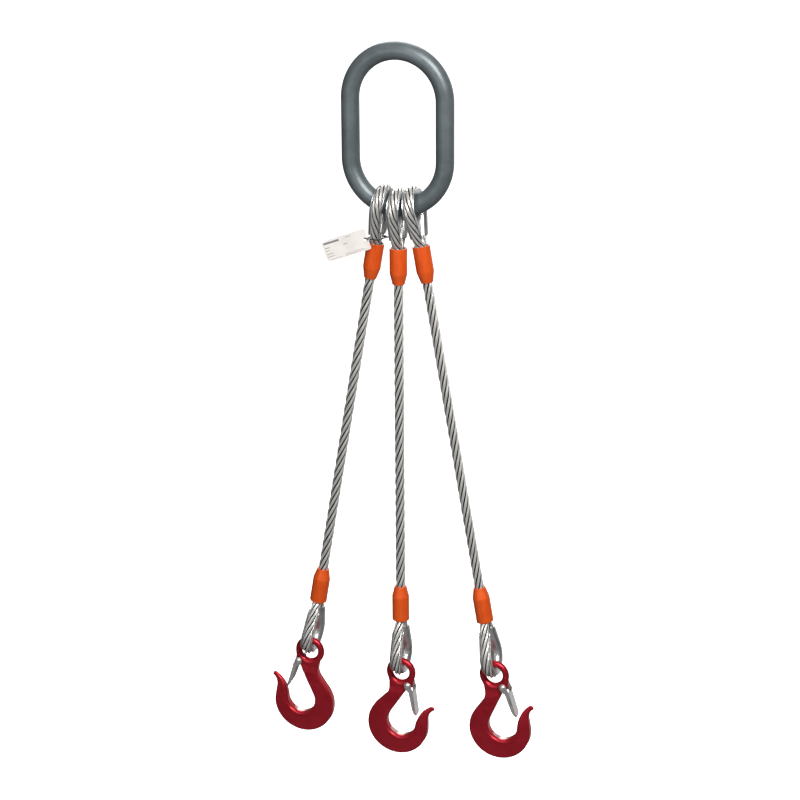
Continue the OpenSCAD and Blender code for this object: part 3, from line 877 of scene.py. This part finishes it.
def build_rope(leg, place, phase):
    """A leg's two eyes and its straight run.

    The run is two straight pieces, baked into the row frame, that meet at one
    height. The top eye's strands lean the other way, as the photo shows, and the
    change is inside the sleeve.
    """
    right_hand, left_hand = 1, -1
    path = in_leg(eye_path(), EYE_V, 1)
    obj = rope_piece(f"{leg}_rope_top_eye", place, path, phase, left_hand, ROPE_R)
    finish_piece(obj, f"{leg}_eye", f"{leg}_rope_top")
    path = in_leg(eye_path(), LOW_EYE_V, -1)
    obj = rope_piece(f"{leg}_rope_bottom_eye", place, path, phase + 0.4, right_hand, ROPE_R)
    finish_piece(obj, f"{leg}_lower", f"{leg}_rope_lower")

    start, meet, end, step = -64.0, -160.0, -412.0, 2.0
    for name, a, b, bodies, bend in (
        ("rope_upper_run", start, meet, ("eye", "upper"), (-78.5, -110.0)),
        ("rope_lower_run", meet, end, ("upper", "lower"), (-214.0, -268.0)),
    ):
        path = np.array([(0, 0, v) for v in np.linspace(a, b, int(round((a - b) / step)) + 1)])
        obj = rope_piece(f"{leg}_{name}", place, path, phase, right_hand, RUN_R, start - a)
        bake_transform(obj)
        if name == "rope_upper_run":
            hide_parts(f"{leg}_rope_upper")


def build_fittings(leg, place, loop, collar):
    """A thimble and a sleeve at each end of a leg, the lower ones upside down."""
    verts, faces, bare = collar
    upside_down = Matrix.Rotation(math.pi, 4, "X")
    ends = (("top", "eye", Matrix.Identity(4)), ("bottom", "lower", upside_down))
    for (end, body, turn), v in zip(ends, (EYE_V, LOW_EYE_V)):
        at = place @ Matrix.Translation((0, 0, v)) @ turn
        obj = piece(f"{leg}_{end}_thimble_shell", *loop, at, [ZINC], sharp=50)
        finish_piece(obj, f"{leg}_{body}", f"{leg}_{end}_thimble")
    for (end, body, turn), v in zip(ends, (TOP_MOUTH, LOW_MOUTH)):
        at = place @ Matrix.Translation((0, 0, v)) @ turn
        obj = piece(f"{leg}_{end}_sleeve_pressed", verts, faces, at, [SLEEVE, BARE], 60, bare)
        finish_piece(obj, f"{leg}_{body}", f"{leg}_{end}_sleeve")


def bowl_wear_and_highlight(verts, rear):
    """How much wear and painted highlight each point of a hook has: the bowl's floor, more towards the
    rear.
    """
    du, dv = verts[:, 0] - BOWL_C[0], verts[:, 2] - BOWL_C[1]
    angle = np.degrees(np.arctan2(dv, du))
    wear_and_highlight = np.clip((BOWL_R + 1.8 - np.hypot(du, dv)) / 1.2, 0, 1)
    wear_and_highlight *= np.clip(1.5 - np.abs(angle + 105) / 40, 0, 1)
    return wear_and_highlight * np.clip(rear / 2.5 + 1.2, 0, 1) * np.clip((5.6 - rear) / 0.8, 0, 1)


def build_hook(leg, forging, gate, pin, spring):
    """A leg's hook, latch, pin and spring.

    The pin's domed head is at the front and the spring at the back on every leg,
    though the left hook is turned round.
    """
    verts, faces = forging
    rear_side = -1 if leg == "left" else 1
    place = leg_frame(leg, turned=leg == "left")
    # wear and a painted highlight on the bowl's far floor
    wear_and_highlight = bowl_wear_and_highlight(verts, rear_side * verts[:, 1])
    obj = piece(f"{leg}_hook_forging", verts, faces, place, [HOOK], values={"wear_and_highlight": wear_and_highlight})
    finish_piece(obj, f"{leg}_hook", f"{leg}_hook")

    at_pin = place @ Matrix.Translation((PIN[0], 0, PIN[1]))
    lean = Matrix.Rotation(math.radians(-LATCH_A), 4, "Y")
    to_y = Matrix(((1, 0, 0, 0), (0, 0, -1, 0), (0, 1, 0, 0), (0, 0, 0, 1)))
    mirror = Matrix.Scale(rear_side, 4, (0, 1, 0))
    obj = piece(f"{leg}_latch_gate", *gate, at_pin @ lean, [GATE], sharp=48)
    finish_piece(obj, f"{leg}_latch", f"{leg}_latch")
    obj = piece(f"{leg}_latch_rivet", *pin, at_pin @ mirror @ to_y, [PIN_STEEL], sharp=50)
    finish_piece(obj, f"{leg}_hook", f"{leg}_latch_pin")
    obj = piece(f"{leg}_latch_coil", *spring, at_pin @ mirror @ lean @ to_y, [SPRING])
    finish_piece(obj, f"{leg}_latch", f"{leg}_latch_spring")


# the tie's half sizes and height in the left leg, and where the tag hangs in front
TIE_X, TIE_Y, TIE_V, TAG_Y = 6.9, 18.8, TOP_MOUTH + 4.7, -16.4
TIE_TILT, TIE_ROLL, TAG_SLOPE = math.radians(9), math.radians(8), math.radians(30.8)
TIE_R = 0.62


def tag_mesh(sides=96):
    """Plate with rounded corners and softened edges; its hole is the origin.

    Its points are (along, across, depth), in rings round the plate and the hole.
    """
    long, wide, thick, hole, corner, end, soft = 48.5, 21.5, 1.0, 1.7, 2.0, 3.4, 0.22
    middle, half = end - long / 2, wide / 2
    rays = circle(1.0, sides)
    edge = []
    for ray in rays:
        # where a ray from the hole meets the rounded plate
        near, far = 0.0, 60.0
        for _ in range(40):
            mid = (near + far) / 2
            dx = max(abs(mid * ray[0] - middle) - (long / 2 - corner), 0)
            dy = max(abs(mid * ray[1]) - (half - corner), 0)
            near, far = (mid, far) if math.hypot(dx, dy) < corner else (near, mid)
        edge.append(near)
    edge = np.array(edge)
    layers = [(edge - soft, 0), (edge, soft), (edge, thick - soft), (edge - soft, thick)]
    layers += [(hole + soft, thick), (hole, thick - soft), (hole, soft), (hole + soft, 0)]
    rings = [np.column_stack([rays * np.reshape(r, (-1, 1)), np.full(sides, z)]) for r, z in layers]
    flat = np.concatenate(rings)
    verts = np.column_stack([flat[:, 0], thick / 2 - flat[:, 2], flat[:, 1] - (hole - 0.65)])
    return verts, tube_faces(len(layers), sides, closed=True), flat


def tie_mesh():
    """Closed cord round the eye, sagging a little between its corners, with its lock."""
    corners = [(-1, 0), (-1, 1), (1, 1), (1, -1), (-1, -1), (-1, 0)]
    path = rounded([(x * TIE_X, y * TIE_Y, 0) for x, y in corners], 2.4, 10)
    path = resampled(path, 0.6)[:-1]
    path[:, 2] += 0.25 * np.sin(np.arange(len(path)) * 0.11)
    cord, cord_faces = closed_tube(path, lambda along: np.cross(along, [0, 0, 1.0]), TIE_R, 14)
    profile = [(0.02, -1.7), (1.5, -1.7), (1.75, 0), (1.5, 1.7), (0.02, 1.7)]
    lock, lock_faces = turned(rounded(profile, [0, 0.5, 0.8, 0.5, 0], 4), 24)
    lock = lock[:, [2, 0, 1]] * [0.9, 0.6, 0.7] + [TIE_X - 4.4, TIE_Y, 0]
    return stack([(cord, cord_faces, None), (lock, lock_faces, None)])[:2]


def build_tag():
    """The identity tag, hanging from the front of its tie on the left leg."""
    place = leg_frame("left")
    verts, faces, flat = tag_mesh()
    rise, cos, sin = -TAG_Y * math.tan(TIE_TILT), math.cos(TIE_ROLL), math.sin(TIE_ROLL)
    hang = (-TIE_X * cos - rise * sin, TAG_Y, TIE_V + rise * cos - TIE_X * sin)
    at = place @ Matrix.Translation(hang) @ Matrix.Rotation(-TAG_SLOPE, 4, "Y")
    obj = piece("id_tag_plate", verts, faces, at, [TAG], sharp=30, values={"plate": flat})
    finish_piece(obj, "tag", "id_tag")

    turn = Matrix.Rotation(-TIE_ROLL, 4, "Y") @ Matrix.Rotation(-TIE_TILT, 4, "X")
    at = place @ Matrix.Translation((0, 0, TIE_V)) @ turn
    obj = piece("tag_tie_cord", *tie_mesh(), at, [TIE])
    finish_piece(obj, "left_eye", "tag_tie")


build_link()
fittings = thimble(), sleeve()
hook_set = hook(), latch(), latch_pin(), latch_spring()
for number, name in enumerate(LEGS):
    leg_place = leg_frame(name)
    build_rope(name, leg_place, 0.35 * number)
    build_fittings(name, leg_place, *fittings)
    build_hook(name, *hook_set)
build_tag()


# ---- stage, light and camera ----


def build_stage():
    """A pale floor well below the hanging sling that curves up and over it.

    The camera sees it, but the metal doesn't mirror it. In metres.
    """
    floor_z, radius, bend, top = -1.2, 9.0, 3.0, 9.0
    profile = [(0.0, floor_z), (radius - bend, floor_z)]
    for a in np.radians(np.linspace(8, 90, 14)):
        profile.append((radius - bend + bend * math.sin(a), floor_z + bend - bend * math.cos(a)))
    for a in np.radians(np.linspace(10, 89.9, 12)):
        profile.append((radius * math.cos(a), floor_z + bend + top * math.sin(a)))
    verts, faces = turned(profile, 96)
    faces = [face[::-1] for face in faces]
    obj = piece("floor_and_backdrop", verts, faces, Matrix.Identity(4), [backdrop()])
    obj.visible_glossy = obj.visible_diffuse = obj.visible_shadow = False


def backdrop():
    """Paper that glows evenly, so that the ground stays plain white."""
    n = Nodes("backdrop_paper")
    paper = n.mix(n.spread(n.noise(2, 2), 0.3, 0.7), (0.9, 0.9, 0.9, 1), (0.88, 0.88, 0.88, 1))
    n.set(Base_Color=paper, Roughness=0.9)
    n.set(Emission_Color=(1, 1, 1, 1), Emission_Strength=1.0)
    return n.material


def area_light(name, place, aim, size, power, colour=(1, 1, 1)):
    """A rectangular softbox at place, facing aim; power in watts."""
    data = bpy.data.lights.new(name, "AREA")
    data.shape, data.size, data.size_y = "RECTANGLE", size[0], size[1]
    data.energy, data.color = power, colour
    obj = bpy.data.objects.new(name, data)
    bpy.context.scene.collection.objects.link(obj)
    obj.location = place
    obj.rotation_euler = (Vector(aim) - Vector(place)).to_track_quat("-Z", "Y").to_euler()


def build_light():
    """Dim studio that brightens upwards and at the back right, and three softboxes."""
    world = bpy.data.worlds.new("studio")
    world.use_nodes = True
    tree = world.node_tree

    def node(kind, **values):
        made = tree.nodes.new("ShaderNode" + kind)
        for key, value in values.items():
            setattr(made, key, value)
        return made

    def ramp(value, low, high, to_low, to_high, kind="SMOOTHSTEP"):
        made = node("MapRange", interpolation_type=kind)
        for key, number in (("From Min", low), ("From Max", high), ("To Min", to_low), ("To Max", to_high)):
            made.inputs[key].default_value = number
        tree.links.new(value, made.inputs["Value"])
        return made.outputs["Result"]

    split = node("SeparateXYZ")
    tree.links.new(node("TexCoord").outputs["Generated"], split.inputs[0])

    def times(a, b):
        made = node("Math", operation="MULTIPLY")
        tree.links.new(a, made.inputs[0])
        tree.links.new(b, made.inputs[1])
        return made.outputs[0]

    # brightness for each height from straight down to straight up, with a dark band under the horizon
    height = node("ValToRGB")
    tree.links.new(ramp(split.outputs["Z"], -1, 1, 0, 1, "LINEAR"), height.inputs[0])
    levels = ((0.0, 0.2), (0.2, 0.3), (0.25, 0.22), (0.29, 0.05), (0.335, 0.06), (0.4, 0.17),
              (0.5, 0.17), (0.57, 0.10), (0.7, 0.14), (0.8, 0.35), (0.9, 0.7), (1.0, 0.8))
    stops = height.color_ramp.elements
    stops[0].position, stops[1].position = levels[0][0], levels[-1][0]
    stops[0].color, stops[1].color = [(v, v, v, 1) for v in (levels[0][1], levels[-1][1])]
    for at, v in levels[1:-1]:
        stops.new(at).color = (v, v, v, 1)
    front = times(height.outputs[0], ramp(split.outputs["Y"], -0.7, 0.2, 1.25, 0.55))
    glow = ramp(split.outputs["Y"], 0.6, 0.9, 0.0, 0.9)
    back = times(glow, ramp(split.outputs["X"], -0.05, 0.3, 0.0, 1.0))
    total = node("Math", operation="MAXIMUM")
    tree.links.new(front, total.inputs[0])
    tree.links.new(back, total.inputs[1])
    tree.links.new(total.outputs[0], tree.nodes["Background"].inputs["Color"])
    bpy.context.scene.world = world
    aim = (0, 0, -0.35)
    area_light("key_softbox", (1.15, -1.45, 1.15), aim, (1.1, 1.1), 72, (1.0, 0.96, 0.92))
    area_light("front_softbox", (-0.5, -2.6, 0.3), aim, (1.0, 1.6), 14)
    area_light("rear_softbox", (-0.7, 2.2, 1.3), aim, (1.5, 1.5), 42)


def build_camera():
    """The photograph's view, fitted to the link and the three legs."""
    azimuth, elevation, roll = math.radians(18.41), math.radians(18.5), math.radians(-0.39)
    target, distance = Vector((0.0007, 0.0, -0.3424)), 2.4
    level = math.cos(elevation)
    back = Vector((math.sin(azimuth) * level, -math.cos(azimuth) * level, math.sin(elevation)))
    right = Vector((math.cos(azimuth), math.sin(azimuth), 0))
    up = back.cross(right)
    right_rolled = math.cos(roll) * right + math.sin(roll) * up
    up_rolled = back.cross(right_rolled)
    data = bpy.data.cameras.new("camera")
    data.lens, data.sensor_width = 108, 36
    obj = bpy.data.objects.new("camera", data)
    bpy.context.scene.collection.objects.link(obj)
    spin = Matrix((right_rolled, up_rolled, back)).transposed().to_4x4()
    obj.matrix_world = Matrix.Translation(target + back * distance) @ spin
    bpy.context.scene.camera = obj


build_stage()
build_light()
build_camera()
bpy.context.scene.view_settings.view_transform = "Standard"
